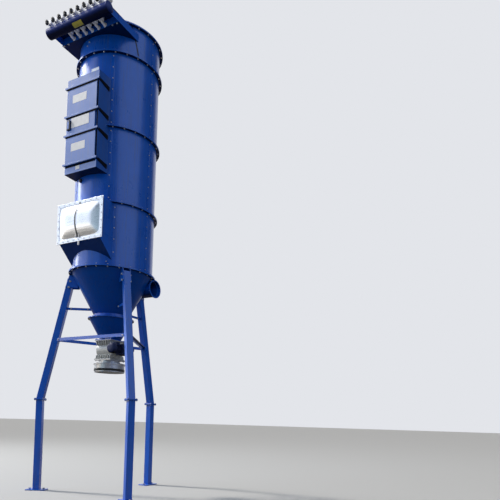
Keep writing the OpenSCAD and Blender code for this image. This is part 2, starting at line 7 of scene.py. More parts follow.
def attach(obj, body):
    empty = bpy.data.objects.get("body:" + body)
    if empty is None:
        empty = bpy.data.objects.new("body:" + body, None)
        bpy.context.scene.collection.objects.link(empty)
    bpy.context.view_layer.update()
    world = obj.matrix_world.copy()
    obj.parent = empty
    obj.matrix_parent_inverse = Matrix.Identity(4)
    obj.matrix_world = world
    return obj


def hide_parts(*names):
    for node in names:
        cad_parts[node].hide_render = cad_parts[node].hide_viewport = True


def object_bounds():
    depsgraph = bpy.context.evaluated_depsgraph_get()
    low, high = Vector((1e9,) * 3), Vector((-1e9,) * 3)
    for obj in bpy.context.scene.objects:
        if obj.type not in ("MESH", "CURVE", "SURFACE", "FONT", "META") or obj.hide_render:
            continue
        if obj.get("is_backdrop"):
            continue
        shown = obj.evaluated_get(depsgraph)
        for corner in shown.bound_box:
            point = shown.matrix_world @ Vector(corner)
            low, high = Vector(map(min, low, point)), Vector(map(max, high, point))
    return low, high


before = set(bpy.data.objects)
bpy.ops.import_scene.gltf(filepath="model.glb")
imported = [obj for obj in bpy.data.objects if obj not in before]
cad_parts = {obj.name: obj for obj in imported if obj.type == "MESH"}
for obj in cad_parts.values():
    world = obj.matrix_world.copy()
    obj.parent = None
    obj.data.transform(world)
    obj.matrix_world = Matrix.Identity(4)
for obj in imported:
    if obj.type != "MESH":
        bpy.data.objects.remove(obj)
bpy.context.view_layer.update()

# The view: from low on the right of the doors, looking up. The picture's
# centre line runs well above the lens axis, as a raised lens gives it, so
# the upright edges stay nearly parallel.
bearing, pitch, roll = -0.475, 0.032, 0.028
standpoint = (5.712, -6.119, 1.170)
ahead = Vector((math.cos(pitch)*math.sin(bearing), math.cos(pitch)*math.cos(bearing), math.sin(pitch)))
level = Vector((math.cos(bearing), -math.sin(bearing), 0.0))
across = math.cos(roll)*level + math.sin(roll)*level.cross(ahead)
above = across.cross(ahead)
lens = bpy.data.cameras.new("view")
lens.lens, lens.sensor_width, lens.shift_y = 36.1, 36.0, 0.312
lens.clip_start, lens.clip_end = 0.1, 200.0
lens.dof.use_dof = False
camera = bpy.data.objects.new("view", lens)
bpy.context.scene.collection.objects.link(camera)
aim = Matrix((across, above, -ahead)).transposed().to_4x4()
camera.matrix_world = Matrix.Translation(standpoint) @ aim
bpy.context.scene.camera = camera
bpy.context.scene.view_settings.view_transform = 'Standard'


# Floor and light: a pale studio floor, a sun-like lamp high on the left, a
# tall strip beside it, a soft screen in front on the left, and a card on
# the right that only shows in shiny paint.
def linear(hex_code):
    """The linear colour of an sRGB hex code."""
    parts = [int(hex_code[i:i + 2], 16)/255 for i in (1, 3, 5)]
    return [c/12.92 if c <= 0.04045 else ((c + 0.055)/1.055)**2.4 for c in parts] + [1.0]


def add(tree, kind, sockets=None, links=None, **settings):
    """One shader node with its settings, its socket values and what feeds it."""
    made = tree.nodes.new("ShaderNode" + kind)
    for name, value in settings.items():
        setattr(made, name, value)
    for name, value in (sockets or {}).items():
        made.inputs[name].default_value = value
    for name, source in (links or {}).items():
        tree.links.new(source, made.inputs[name])
    return made


def new_finish(name):
    """A new material: itself, its node tree and its main shader."""
    finish = bpy.data.materials.new(name)
    finish.use_nodes = True
    return finish, finish.node_tree, finish.node_tree.nodes["Principled BSDF"]


def ease():
    """Leaves edit mode and selects nothing."""
    if bpy.context.mode != 'OBJECT':
        bpy.ops.object.mode_set(mode='OBJECT')
    bpy.ops.object.select_all(action='DESELECT')


ease()
bpy.ops.mesh.primitive_plane_add(size=300, location=(0, 0, 0))
floor = bpy.context.object
floor.name = "floor"
floor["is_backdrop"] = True
# dull concrete, pale to the camera, mid grey as it throws light back and warmer in shiny paint
concrete, tree, base = new_finish("pale_concrete")
path = add(tree, "LightPath")
ground = add(tree, "Mix", {6: linear("#8E8E8C"), 7: linear("#A39683")}, {0: path.outputs["Is Glossy Ray"]},
             data_type='RGBA')
pale = add(tree, "Mix", {7: linear("#C9C8C4")}, {0: path.outputs["Is Camera Ray"], 6: ground.outputs[2]},
           data_type='RGBA')
tree.links.new(pale.outputs[2], base.inputs["Base Color"])
base.inputs["Roughness"].default_value = 0.85
base.inputs["Specular IOR Level"].default_value = 0.2
floor.data.materials.append(concrete)

# The camera sees pale walls all round. Shiny paint shows a pale wall behind the machine on
# its left, a low bright wall over a warm skirting in front on the left, a low pale blue
# wall in front, and dark walls elsewhere.
left_behind, front_left, in_front = (-0.819, 0.574, 0), (-0.70, -0.71, 0), (-0.242, -0.970, 0)
room = bpy.data.worlds.new("room")
bpy.context.scene.world = room
room.use_nodes = True
tree = room.node_tree
tree.nodes.clear()
path = add(tree, "LightPath")
direct, shiny = path.outputs["Is Camera Ray"], path.outputs["Is Glossy Ray"]
seen = add(tree, "Math", links={0: direct, 1: shiny}, operation='ADD')
seen = add(tree, "Math", links={0: seen.outputs[0], 1: path.outputs["Is Transmission Ray"]},
           operation='ADD', use_clamp=True)
way = add(tree, "TexCoord").outputs["Generated"]
height = add(tree, "SeparateXYZ", links={0: way}).outputs["Z"]
flat = add(tree, "VectorMath", {1: (1, 1, 0)}, {0: way}, operation='MULTIPLY')
flat = add(tree, "VectorMath", links={0: flat.outputs[0]}, operation='NORMALIZE')
rear = add(tree, "VectorMath", {1: left_behind}, {0: flat.outputs[0]}, operation='DOT_PRODUCT')
rear = add(tree, "MapRange", {"From Min": 0.49, "From Max": 0.56}, {"Value": rear.outputs["Value"]})
# each front wall's middle, the cosines over which it fades in sideways, and the sines for its top
front_walls = []
for middle, outer, inner, top, full in ((front_left, 0.72, 0.90, 0.24, 0.18),
                                        (in_front, 0.93, 0.97, 0.46, 0.38)):
    side = add(tree, "VectorMath", {1: middle}, {0: flat.outputs[0]}, operation='DOT_PRODUCT')
    side = add(tree, "MapRange", {"From Min": outer, "From Max": inner}, {"Value": side.outputs["Value"]})
    wall = add(tree, "MapRange", {"From Min": top, "From Max": full}, {"Value": height})
    wall = add(tree, "Math", links={0: wall.outputs[0], 1: side.outputs[0]}, operation='MULTIPLY')
    wall = add(tree, "Math", links={0: wall.outputs[0], 1: shiny}, operation='MULTIPLY')
    front_walls.append(wall.outputs[0])
low, blue = front_walls
bright = add(tree, "Math", links={0: low, 1: rear.outputs[0]}, operation='MAXIMUM')
bright = add(tree, "Math", links={0: bright.outputs[0], 1: direct}, operation='MAXIMUM')
walls = add(tree, "Mix", {6: linear("#2B3A5C"), 7: linear("#E3E5EA")}, {0: bright.outputs[0]},
            data_type='RGBA')
skirting = add(tree, "MapRange", {"From Min": 0.13, "From Max": 0.09}, {"Value": height})
skirting = add(tree, "Math", links={0: skirting.outputs[0], 1: low}, operation='MULTIPLY')
lit = add(tree, "Math", links={0: low, 1: skirting.outputs[0]}, operation='SUBTRACT')
glow = add(tree, "VectorMath", {1: (5.0, 4.2, 3.2), 2: (1, 1, 1)}, {0: lit.outputs[0]},
           operation='MULTIPLY_ADD')
walls = add(tree, "VectorMath", links={0: walls.outputs[2], 1: glow.outputs[0]}, operation='MULTIPLY')
walls = add(tree, "Mix", {7: linear("#C4B397")}, {0: skirting.outputs[0], 6: walls.outputs[0]},
            data_type='RGBA')
walls = add(tree, "Mix", {7: linear("#C9EAFF")}, {0: blue, 6: walls.outputs[2]}, data_type='RGBA')
shown = add(tree, "Background", {"Strength": 1.0}, {"Color": walls.outputs[2]})
lighting = add(tree, "Background", {"Color": linear("#DBE5F6"), "Strength": 0.42})
both = add(tree, "MixShader", links={0: seen.outputs[0], 1: lighting.outputs[0], 2: shown.outputs[0]})
add(tree, "OutputWorld", links={"Surface": both.outputs[0]})


def soft_lamp(name, azimuth, rise, distance, width, height, power, tint, lights=True):
    """A studio lamp behind a soft screen, placed by its bearing from the doors' side and its angle
    above 4 m, or a card that only shows in shiny paint."""
    lamp = bpy.data.lights.new(name, 'AREA')
    lamp.shape = 'RECTANGLE'
    lamp.size, lamp.size_y = width, height
    lamp.energy, lamp.color = power, linear(tint)[:3]
    holder = bpy.data.objects.new(name, lamp)
    bpy.context.scene.collection.objects.link(holder)
    a, b = math.radians(azimuth), math.radians(rise)
    way = Vector((math.sin(a)*math.cos(b), -math.cos(a)*math.cos(b), math.sin(b)))
    holder.location = Vector((0, 0, 4.0)) + distance*way
    holder.rotation_euler = (-way).to_track_quat('-Z', 'Y').to_euler()
    holder.visible_camera = False
    holder.visible_diffuse = lights


sunshine = Vector((0.715, 0.165, -0.680))
sun = bpy.data.lights.new("sun", 'SUN')
sun.energy, sun.angle, sun.color = 2.0, math.radians(6), linear("#FFF8EE")[:3]
sun_holder = bpy.data.objects.new("sun", sun)
bpy.context.scene.collection.objects.link(sun_holder)
sun_holder.rotation_euler = sunshine.to_track_quat('-Z', 'Y').to_euler()
soft_lamp("left_strip", -78, 26, 15.0, 3.8, 13.0, 1350, "#F0F4FA")
soft_lamp("front_left_screen", -46, 31, 15.0, 8.0, 12.0, 560, "#DDE8FA")
soft_lamp("right_card", 77, 30, 14.0, 15.0, 15.0, 900, "#C6DAFA", lights=False)


# Lower legs: square hollow section, a foot plate with two anchor holes and
# a square knee plate, all welded and sprayed with the same gloss blue
# two-pack paint as the rest. Zinc-plated bolts hold them down.
def gloss_paint(name, hex_code, rough, clear):
    """Two-pack gloss paint on steel: deep colour under a clear shine, faint spray
    ripple, rain streaks and dust that dull it in places, and painted shade on faces that look down."""
    paint, tree, base = new_finish(name)
    where = add(tree, "TexCoord").outputs["Object"]
    colour = linear(hex_code)[:3]
    darker, lighter = [c*0.80 for c in colour] + [1.0], [min(1.0, c*1.14) for c in colour] + [1.0]
    # a tenth of the colour, the painted shade of faces that look down
    underside_shade_colour = [c*0.10 for c in colour] + [1.0]
    # broad patches about 300 mm across, where weather has dulled the colour
    patches = add(tree, "TexNoise", {"Scale": 3.3, "Detail": 4.0, "Roughness": 0.6}, {"Vector": where})
    tint = add(tree, "Mix", {6: darker, 7: lighter}, {0: patches.outputs["Fac"]}, data_type='RGBA')
    # rain streaks about 25 mm wide and half a metre long
    tall = add(tree, "Mapping", {"Scale": (40.0, 40.0, 2.0)}, {"Vector": where})
    streaks = add(tree, "TexNoise", {"Scale": 1.0, "Detail": 3.0}, {"Vector": tall.outputs[0]})
    dust = add(tree, "MapRange", {"From Min": 0.5, "From Max": 0.8, "To Max": 0.35},
               {"Value": streaks.outputs["Fac"]})
    grime = add(tree, "Mix", {7: linear("#4C5468")}, {0: dust.outputs[0], 6: tint.outputs[2]},
                data_type='RGBA')
    dulled = add(tree, "Math", {1: 0.35}, {0: dust.outputs[0]}, operation='MULTIPLY')
    # painted shade: faces that look down are darkened towards a tenth of their colour and lose most of their
    # shine, standing in for the shade under rings, flanges and ledges
    facing = add(tree, "SeparateXYZ", links={0: add(tree, "NewGeometry").outputs["Normal"]})
    under = add(tree, "MapRange", {"From Min": -0.05, "From Max": -0.8}, {"Value": facing.outputs["Z"]})
    shaded_underside = add(tree, "Mix", {7: underside_shade_colour}, {0: under.outputs[0], 6: grime.outputs[2]}, data_type='RGBA')
    tree.links.new(shaded_underside.outputs[2], base.inputs["Base Color"])
    bare = add(tree, "MapRange", {"From Max": 0.5, "To Min": 0.5, "To Max": 0.08},
               {"Value": under.outputs[0]})
    tree.links.new(bare.outputs[0], base.inputs["Specular IOR Level"])
    coat = add(tree, "MapRange", {"From Max": 0.5, "To Min": clear, "To Max": 0.0},
               {"Value": under.outputs[0]})
    tree.links.new(coat.outputs[0], base.inputs["Coat Weight"])
    uneven = add(tree, "MapRange", {"To Min": rough, "To Max": rough + 0.14},
                 {"Value": patches.outputs["Fac"]})
    shine = add(tree, "Math", links={0: uneven.outputs[0], 1: dulled.outputs[0]}, operation='ADD')
    tree.links.new(shine.outputs[0], base.inputs["Roughness"])
    # spray ripple, 6 mm across, drawn a little coarser than the real 2 mm so that it shows
    ripple = add(tree, "TexNoise", {"Scale": 160.0, "Detail": 2.0}, {"Vector": where})
    # dents and waves of rolled sheet, 200 mm across
    waves = add(tree, "TexNoise", {"Scale": 5.0, "Detail": 1.0}, {"Vector": where})
    height = add(tree, "Math", {1: 0.06}, {0: ripple.outputs["Fac"], 2: waves.outputs["Fac"]},
                 operation='MULTIPLY_ADD')
    bump = add(tree, "Bump", {"Strength": 0.25, "Distance": 0.004}, {"Height": height.outputs[0]})
    tree.links.new(bump.outputs[0], base.inputs["Normal"])
    base.inputs["Coat Roughness"].default_value = 0.1
    base.inputs["IOR"].default_value = 1.45
    return paint


blue_paint = gloss_paint("gloss_blue_two_pack_paint", "#0462D6", 0.22, 0.25)


def evened(piece):
    """Keeps the shading of large flat faces flat beside their rounded edges."""
    ease()
    bpy.context.view_layer.objects.active = piece
    even = piece.modifiers.new("even", 'WEIGHTED_NORMAL')
    even.keep_sharp = True
    bpy.ops.object.modifier_apply(modifier="even")
    return piece


def fitted(piece, finish, slot, *nodes):
    """Gives a piece its finish, fixes it to the machine, and lets it stand for CAD nodes."""
    piece.data.materials.clear()
    piece.data.materials.append(finish)
    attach(piece, "root")
    if nodes:
        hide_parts(*nodes)


def dress(node, finish, slot, width, steps=2):
    """A finished copy in a CAD node's place: its triangles merged, its edges rounded, its rounds smooth."""
    ease()
    crease = math.radians(35)
    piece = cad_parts[node].copy()
    piece.data = piece.data.copy()
    piece.parent = None
    for key in list(piece.keys()):
        del piece[key]
    piece.name = node + "_made"
    bpy.context.scene.collection.objects.link(piece)
    piece.select_set(True)
    bpy.context.view_layer.objects.active = piece
    bpy.ops.mesh.customdata_custom_splitnormals_clear()
    bpy.ops.object.mode_set(mode='EDIT')
    bpy.ops.mesh.select_all(action='SELECT')
    bpy.ops.mesh.remove_doubles(threshold=0.00005)
    bpy.ops.mesh.dissolve_limited(angle_limit=math.radians(0.3))
    bpy.ops.object.mode_set(mode='OBJECT')
    if width:
        rounded = piece.modifiers.new("rounded", 'BEVEL')
        rounded.width, rounded.segments = width, steps
        rounded.limit_method, rounded.angle_limit = 'ANGLE', crease
        rounded.use_clamp_overlap = False
        bpy.ops.object.modifier_apply(modifier="rounded")
    bpy.ops.object.shade_smooth_by_angle(angle=crease)
    fitted(evened(piece), finish, slot, node)


# each leg's angle from the doors' side towards the inlet's
legs = {"left": -60, "right": 60, "rear": 180}
for side in legs:
    dress(f"leg_{side}_lower", blue_paint, "blue_paint", 0.004, 3)

zinc, tree, base = new_finish("zinc_plated_steel")
where = add(tree, "TexCoord").outputs["Object"]
# spangle of the zinc coat, 8 mm crystals
spangle = add(tree, "TexVoronoi", {"Scale": 125.0}, {"Vector": where})
tone = add(tree, "Mix", {6: linear("#AEB2B6"), 7: linear("#DADCDE")}, {0: spangle.outputs["Color"]},
           data_type='RGBA')
tree.links.new(tone.outputs[2], base.inputs["Base Color"])
dull = add(tree, "MapRange", {"To Min": 0.28, "To Max": 0.48}, {"Value": spangle.outputs["Distance"]})
tree.links.new(dull.outputs[0], base.inputs["Roughness"])
base.inputs["Metallic"].default_value = 0.6


def pick(piece, kind, chosen):
    """Selects those corners, edges or faces of a piece in edit mode that a test picks out."""
    bpy.ops.mesh.select_all(action='DESELECT')
    cage = bmesh.from_edit_mesh(piece.data)
    for part in {"corners": cage.verts, "edges": cage.edges, "faces": cage.faces}[kind]:
        part.select_set(chosen(part))
    bmesh.update_edit_mesh(piece.data)


def hex_bolt(across_flats, head, washer):
    """A hex head with a chamfered top on a round washer, standing on z = 0."""
    ease()
    bpy.ops.mesh.primitive_cylinder_add(vertices=20, radius=across_flats*0.66, depth=washer,
                                        location=(0, 0, washer/2))
    bolt = bpy.context.object
    bpy.ops.object.transform_apply()
    bpy.ops.object.mode_set(mode='EDIT')
    bpy.ops.mesh.primitive_cylinder_add(vertices=6, radius=across_flats*0.577, depth=head,
                                        location=(0, 0, washer + head/2))
    pick(bolt, "faces", lambda face: face.calc_center_median().z > washer + head - 0.0005)
    bpy.ops.mesh.bevel(offset=head*0.22, segments=1, affect='EDGES')
    bpy.ops.object.mode_set(mode='OBJECT')
    return bolt


def joined(pieces, name):
    """Joins pieces into one and names it."""
    ease()
    for piece in pieces:
        piece.select_set(True)
    bpy.context.view_layer.objects.active = pieces[0]
    bpy.ops.object.join()
    whole = bpy.context.object
    whole.name = name
    return whole


def spread(model, name, places):
    """Copies a modelled piece to each place, a point and the way it faces, as one piece."""
    copies = []
    for point, way in places:
        copy = model.copy()
        copy.data = model.data.copy()
        turn = Vector(way).to_track_quat('Z', 'Y').to_matrix().to_4x4()
        copy.data.transform(Matrix.Translation(point) @ turn)
        bpy.context.scene.collection.objects.link(copy)
        copies.append(copy)
    whole = joined(copies, name)
    bpy.data.objects.remove(model)
    return whole


def round_at(azimuth, radius, z):
    """A point at an angle from the doors' side towards the inlet's, and the way out there."""
    a = math.radians(azimuth)
    return Vector((radius*math.sin(a), -radius*math.cos(a), z)), Vector((math.sin(a), -math.cos(a), 0))


up, down, forward = (0, 0, 1), (0, 0, -1), (0, -1, 0)
foot_plate = 0.015
anchors = []
for azimuth in legs.values():
    for radius in (0.96, 1.18):
        anchors.append((round_at(azimuth, radius, foot_plate)[0], up))
fitted(spread(hex_bolt(0.030, 0.019, 0.004), "anchor_bolts", anchors), zinc, "zinc_steel")


# Upper legs: the same hollow section, leaning in to the body. Four bolts
# join the two plates of each knee.
for side in legs:
    dress(f"leg_{side}_upper", blue_paint, "blue_paint", 0.004, 3)
knee_radius, knee_reach = 1.070, 0.061
knee_top, knee_underside = 1.452, 1.428
knees = []
for azimuth in legs.values():
    centre, out = round_at(azimuth, knee_radius, 0)
    along = Vector((-out.y, out.x, 0))
    for a in (-knee_reach, knee_reach):
        for b in (-knee_reach, knee_reach):
            spot = centre + a*out + b*along
            knees.append(((spot.x, spot.y, knee_top), up))
            knees.append(((spot.x, spot.y, knee_underside), down))
fitted(spread(hex_bolt(0.017, 0.008, 0.002), "knee_bolts", knees), zinc, "zinc_steel")


# Leg heads: a pair of gusset plates welded to the cone under its flange,
# with two through bolts that clamp each leg.
def through_bolt(azimuth, radius, z, half):
    """Both ends of a bolt across a piece, half the piece's width to each side."""
    centre, out = round_at(azimuth, radius, z)
    along = Vector((-out.y, out.x, 0))
    return [(centre + half*along, along), (centre - half*along, -along)]


dress("leg_heads", blue_paint, "blue_paint", 0.002)
clamps = []
for azimuth in legs.values():
    for radius, z in ((0.657, 3.341), (0.676, 3.246)):
        clamps += through_bolt(azimuth, radius, z, 0.060)
fitted(spread(hex_bolt(0.026, 0.013, 0.003), "leg_head_bolts", clamps), zinc, "zinc_steel")


# Braces: equal angle, cut to the legs, one between each pair, bolted to a
# cleat at both ends. The front one is rolled with a slightly rounded edge.
brace_length, brace_width, brace_thick = 1.396, 0.050, 0.005
brace_y, brace_z = -0.4545, 2.400
for side in ("right", "left"):
    dress(f"brace_{side}", blue_paint, "blue_paint", 0.002)
ease()
bpy.ops.mesh.primitive_cube_add(size=1, location=(0, brace_y, brace_z),
                                scale=(brace_length, brace_thick, brace_width))
angle = bpy.context.object
angle.name = "brace_front_made"
bpy.ops.object.transform_apply()
bpy.ops.object.mode_set(mode='EDIT')
bpy.ops.mesh.select_all(action='SELECT')
ledge = brace_z + 0.020
bpy.ops.mesh.bisect(plane_co=(0, 0, ledge), plane_no=(0, 0, 1))
pick(angle, "faces", lambda face: face.calc_center_median().z > ledge and face.normal.y > 0.9)
bpy.ops.mesh.extrude_region_move(TRANSFORM_OT_translate={"value": (0, brace_width - brace_thick, 0)})
bpy.ops.mesh.select_all(action='SELECT')
bpy.ops.mesh.normals_make_consistent(inside=False)
bpy.ops.object.mode_set(mode='OBJECT')
rounded = angle.modifiers.new("rounded", 'BEVEL')
rounded.width, rounded.segments, rounded.limit_method = 0.001, 2, 'ANGLE'
bpy.ops.object.modifier_apply(modifier="rounded")
bpy.ops.object.shade_smooth_by_angle(angle=math.radians(35))
fitted(evened(angle), blue_paint, "blue_paint", "brace_front")
# the front brace is bolted from outside, and the others from inside
ends = [(Vector((x, -0.4570, 2.398)), Vector(forward)) for x in (-0.660, 0.660)]
for azimuth in (120, 240):
    turn = Matrix.Rotation(math.radians(azimuth), 3, 'Z')
    for x in (-0.660, 0.660):
        ends.append((turn @ Vector((x, -0.4068, brace_z)), turn @ Vector((0, 1, 0))))
fitted(spread(hex_bolt(0.020, 0.010, 0.002), "brace_bolts", ends), zinc, "zinc_steel")


# Struts: short painted flats from each leg to the cone, bolted through at
# both ends.
dress("struts", blue_paint, "blue_paint", 0.0015)
ties = []
for azimuth in legs.values():
    for radius in (0.372, 0.640):
        ties += through_bolt(azimuth, radius, 2.910, 0.005)
fitted(spread(hex_bolt(0.020, 0.010, 0.002), "strut_bolts", ties), zinc, "zinc_steel")


# Bag collar: galvanised square flange, short throat, a round flange with a
# row of bolts and the tube that a bulk bag is pulled over.
dress("bag_collar", zinc, "zinc_steel", 0.0015)
square_long, square_short = (-0.148, -0.05, 0.05, 0.148), (-0.156, 0.156)
rim = [(round_at(15*i + 4, 0.2035, 2.040)[0], up) for i in range(24)]
for x in square_long:
    for y in square_short:
        rim.append(((x, y, 2.112), up))
        rim.append(((x, y, 2.088), down))
        rim.append(((y, x, 2.088), down))
fitted(spread(hex_bolt(0.016, 0.009, 0.002), "collar_bolts", rim), zinc, "zinc_steel")


# Bag strap: black polyester webbing 36 mm wide, pulled tight round the
# tube and held by a moulded lever buckle.
webbing, tree, base = new_finish("black_polyester_webbing")
base.inputs["Base Color"].default_value = linear("#1B1B1D")
base.inputs["Roughness"].default_value = 0.75
base.inputs["Sheen Weight"].default_value = 0.25
where = add(tree, "TexCoord").outputs["Object"]
# woven ribs 3 mm apart up the strap, drawn double the real spacing so that they show
ribs = add(tree, "TexWave", {"Scale": 52.0, "Distortion": 0.4}, {"Vector": where}, bands_direction='Z')
bump = add(tree, "Bump", {"Strength": 0.5, "Distance": 0.001}, {"Height": ribs.outputs["Fac"]})
tree.links.new(bump.outputs[0], base.inputs["Normal"])
dress("bag_strap", webbing, "black_webbing", 0.0015)


# Rotary valve: grey iron housing, cast with a row of ribs against each
# square flange, machined end covers with bearings, painted silver-grey.
cast_grey, tree, base = new_finish("silver_grey_cast_iron")
where = add(tree, "TexCoord").outputs["Object"]
# sand-cast skin, 4 mm grains, under a thin coat of aluminium paint
grains = add(tree, "TexNoise", {"Scale": 250.0, "Detail": 4.0}, {"Vector": where})
stain = add(tree, "TexNoise", {"Scale": 14.0, "Detail": 5.0}, {"Vector": where})
tone = add(tree, "Mix", {6: linear("#A6A9A7"), 7: linear("#DADCD9")}, {0: stain.outputs["Fac"]},
           data_type='RGBA')
tree.links.new(tone.outputs[2], base.inputs["Base Color"])
bump = add(tree, "Bump", {"Strength": 0.45, "Distance": 0.0015}, {"Height": grains.outputs["Fac"]})
tree.links.new(bump.outputs[0], base.inputs["Normal"])
base.inputs["Metallic"].default_value = 0.25
base.inputs["Roughness"].default_value = 0.46
dress("valve_housing", cast_grey, "cast_grey", 0.0025, 3)
dress("valve_covers", cast_grey, "cast_grey", 0.002)
shaft_z, cover_x, cover_ring = 2.254, 0.164, 0.118
eighths = [math.radians(45*i + 22.5) for i in range(8)]
valve_bolts = []
for x in square_long:
    for y in square_short:
        valve_bolts.append(((x, y, 2.396), down))
        valve_bolts.append(((x, y, 2.420), up))
for side in (-1, 1):
    for a in eighths:
        spot = (side*cover_x, cover_ring*math.sin(a), shaft_z + cover_ring*math.cos(a))
        valve_bolts.append((spot, (side, 0, 0)))
fitted(spread(hex_bolt(0.017, 0.010, 0.002), "valve_bolts", valve_bolts), zinc, "zinc_steel")


# Drive: helical-bevel gearbox on the valve's shaft and a finned motor that
# points forward, both in dark blue machine enamel. The fan cowl's pressed
# end is a shallow dome.
def revolve(name, outline, steps):
    """A turned or pressed piece about the Z axis from the outline's radii and heights, closed where the
    outline ends at its start."""
    ease()
    radius, z = outline[0]
    bpy.ops.mesh.primitive_circle_add(vertices=steps, radius=radius, location=(0, 0, z), fill_type='NOTHING')
    piece = bpy.context.object
    piece.name = name
    bpy.ops.object.transform_apply()
    bpy.ops.object.mode_set(mode='EDIT')
    for new_radius, new_z in outline[1:]:
        bpy.ops.mesh.extrude_edges_move(TRANSFORM_OT_translate={"value": (0, 0, new_z - z)})
        if new_radius != radius:
            part = new_radius/radius
            bpy.ops.transform.resize(value=(part, part, 1), center_override=(0, 0, new_z))
        radius, z = new_radius, new_z
    bpy.ops.mesh.select_all(action='SELECT')
    bpy.ops.mesh.remove_doubles(threshold=0.0001)
    bpy.ops.mesh.normals_make_consistent(inside=False)
    bpy.ops.object.mode_set(mode='OBJECT')
    bpy.ops.object.shade_smooth_by_angle(angle=math.radians(35))
    return piece


motor_blue = gloss_paint("dark_blue_machine_enamel", "#0A2357", 0.5, 0.0)
dress("valve_gearbox", motor_blue, "motor_blue", 0.008, 4)
dress("valve_motor", motor_blue, "motor_blue", 0.0015)
cowl_end = (0.265, -0.259, shaft_z)
dome = revolve("fan_cowl_dome", [(0.010, -0.0005), (0.0797, -0.0005), (0.0790, 0.006), (0.0755, 0.013),
                                 (0.066, 0.0195), (0.050, 0.0245), (0.028, 0.028), (0.0, 0.029)], 48)
fitted(spread(dome, "fan_cowl_end", [(cowl_end, forward)]), motor_blue, "motor_blue")


# Lower cone and its lid: rolled sheet between a flat lid and a square
# flange, welded and painted.
for node in ("lower_cone", "hopper_lid"):
    dress(node, blue_paint, "blue_paint", 0.0015)


# Neck and upper cone: a straight neck under the rolled cone, whose ring
# flange carries the body. A flat bar covers the cone's welded seam.
for node in ("cone_neck", "upper_cone"):
    dress(node, blue_paint, "blue_paint", 0.0015)


# Inlet: rolled and painted duct in the cone's socket, with a bolted loose
# flange at its end.
dress("inlet_duct", blue_paint, "blue_paint", 0.0015)
inlet_ring = 0.139
joint = []
for a in eighths:
    joint.append(((0.550, 0.388 + inlet_ring*math.cos(a), 3.300 + inlet_ring*math.sin(a)), (-1, 0, 0)))
fitted(spread(hex_bolt(0.012, 0.007, 0.002), "inlet_bolts", joint), zinc, "zinc_steel")


# Body: four sections of rolled wall panels. Bolted ring flanges join the
# sections, and a strap with a row of bolts covers each upright seam.
for node in ("lower_shell", "middle_shell", "upper_shell", "clean_air_shell"):
    dress(node, blue_paint, "blue_paint", 0.0012)
strap_wide, strap_thick, strap_face = 0.046, 0.005, 0.6287


def seam_strap(azimuth, z0, z1):
    """A flat bar up the body's wall, at an angle from the doors' side, its edges rounded."""
    ease()
    bpy.ops.mesh.primitive_cube_add(size=1, location=(0, strap_thick/2 - strap_face, (z0 + z1)/2),
                                    scale=(strap_wide, strap_thick, z1 - z0))
    strap = bpy.context.object
    bpy.ops.object.transform_apply()
    bpy.ops.object.mode_set(mode='EDIT')
    bpy.ops.mesh.bevel(offset=0.0015, segments=2, affect='EDGES')
    bpy.ops.object.mode_set(mode='OBJECT')
    strap.data.transform(Matrix.Rotation(math.radians(azimuth), 4, 'Z'))
    return strap


first_bolt, bolt_pitch = 0.05, 0.17
seam_bolts = []
for name, z0, z1 in (("lower", 3.462, 4.408), ("middle", 4.432, 5.558), ("upper", 5.582, 6.708),
                     ("top", 6.732, 7.188)):
    straps = []
    run = z1 - z0 - 2*first_bolt
    count = max(2, round(run/bolt_pitch))
    for azimuth in (33.5, 93.5, 153.5, 213.5, 273.5, 333.5):
        if name == "top" and azimuth in (33.5, 333.5):
            continue
        straps.append(seam_strap(azimuth, z0, z1))
        for k in range(count + 1):
            seam_bolts.append(round_at(azimuth, strap_face, z0 + first_bolt + k*run/count))
    whole = joined(straps, f"{name}_seam_straps")
    bpy.ops.object.shade_smooth_by_angle(angle=math.radians(35))
    fitted(whole, blue_paint, "blue_paint")
fitted(spread(hex_bolt(0.014, 0.007, 0.002), "seam_bolts", seam_bolts), zinc, "zinc_steel")

# ring joints: a bolt and a nut every 15 degrees, save where the door box, the nozzle or a leg is in the way
cone_ring, nozzle_ring, door_ring, ring_radius = 3.450, 4.420, 5.570, 0.652
ring_bolts = []
for z, rise in ((cone_ring, 0.012), (nozzle_ring, 0.012), (door_ring, 0.012), (6.720, 0.012), (7.200, 0.008)):
    for i in range(24):
        azimuth = 6 + 15*i
        turned = (azimuth + 180) % 360 - 180
        if z == door_ring and abs(turned) < 31:
            continue
        spot = round_at(azimuth, ring_radius, 0)[0]
        ring_bolts.append(((spot.x, spot.y, z + rise), up))
        near_leg = min(abs(turned - 60), abs(turned + 60), abs(abs(turned) - 180)) < 8
        if (z == cone_ring and near_leg) or (z == nozzle_ring and abs(turned) < 42):
            continue
        ring_bolts.append(((spot.x, spot.y, z - 0.012), down))
# the same zinc, more metallic so that it mirrors more darkly: painted shade for the bolts in the rings'
# shadow
shaded_zinc = zinc.copy()
shaded_zinc.name = "zinc_darkened_for_shade"
shaded_zinc.node_tree.nodes["Principled BSDF"].inputs["Metallic"].default_value = 0.95
fitted(spread(hex_bolt(0.019, 0.010, 0.003), "ring_bolts", ring_bolts), shaded_zinc, "zinc_steel")


# Relief nozzle, frame and panel: a welded sheet nozzle that grows out of
# the round wall, a bright frame and the bulged panel that bursts in a
# blast. A thin black signal strip lies over the panel.
dress("relief_nozzle", blue_paint, "blue_paint", 0.002)
sides = []
rows = []
for azimuth in (-42.5, 42.5):
    sides.append(seam_strap(azimuth, 3.600, 4.404))
    for z in (3.66, 3.86, 4.03, 4.19, 4.34):
        rows.append(round_at(azimuth, strap_face, z))
fitted(joined(sides, "nozzle_flanges"), blue_paint, "blue_paint")
fitted(spread(hex_bolt(0.014, 0.007, 0.002), "nozzle_bolts", rows), zinc, "zinc_steel")

panel_silver, tree, base = new_finish("satin_stainless_sheet")
where = add(tree, "TexCoord").outputs["Object"]
